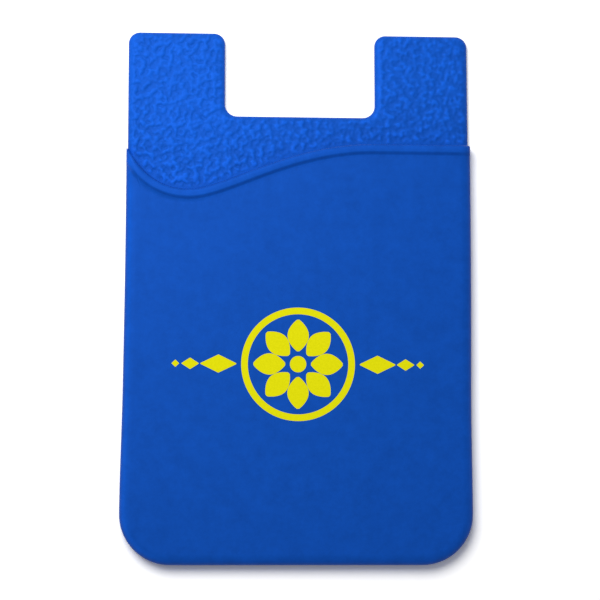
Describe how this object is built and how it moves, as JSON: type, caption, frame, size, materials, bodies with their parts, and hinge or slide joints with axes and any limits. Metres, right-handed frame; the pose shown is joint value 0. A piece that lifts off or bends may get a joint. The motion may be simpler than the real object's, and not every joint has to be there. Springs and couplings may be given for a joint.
{
  "type": "stick-on phone card holder",
  "caption": "Thin blue silicone card sleeve with two ears, a thumb notch between them and a wavy rounded mouth, backed by an adhesive sheet under a tabbed release liner.",
  "frame": {"origin": "middle of the outline, on the underside of the liner, which is the surface the holder lies on", "axes": "+Y from the bottom edge towards the two ears, +Z out of the pocket's front, +X to the right seen from the front"},
  "size_m": [0.0574, 0.0886, 0.0037],
  "materials": {
    "silicone": "matt moulded silicone, smooth front, leather-like grain on the bare part of the back panel",
    "adhesive": "translucent tacky acrylic film",
    "liner": "smooth coated paper"
  },
  "bodies": {
    "root": {"silicone_body": "silicone", "adhesive_pad": "adhesive", "release_liner": "liner"}
  },
  "joints": []
}
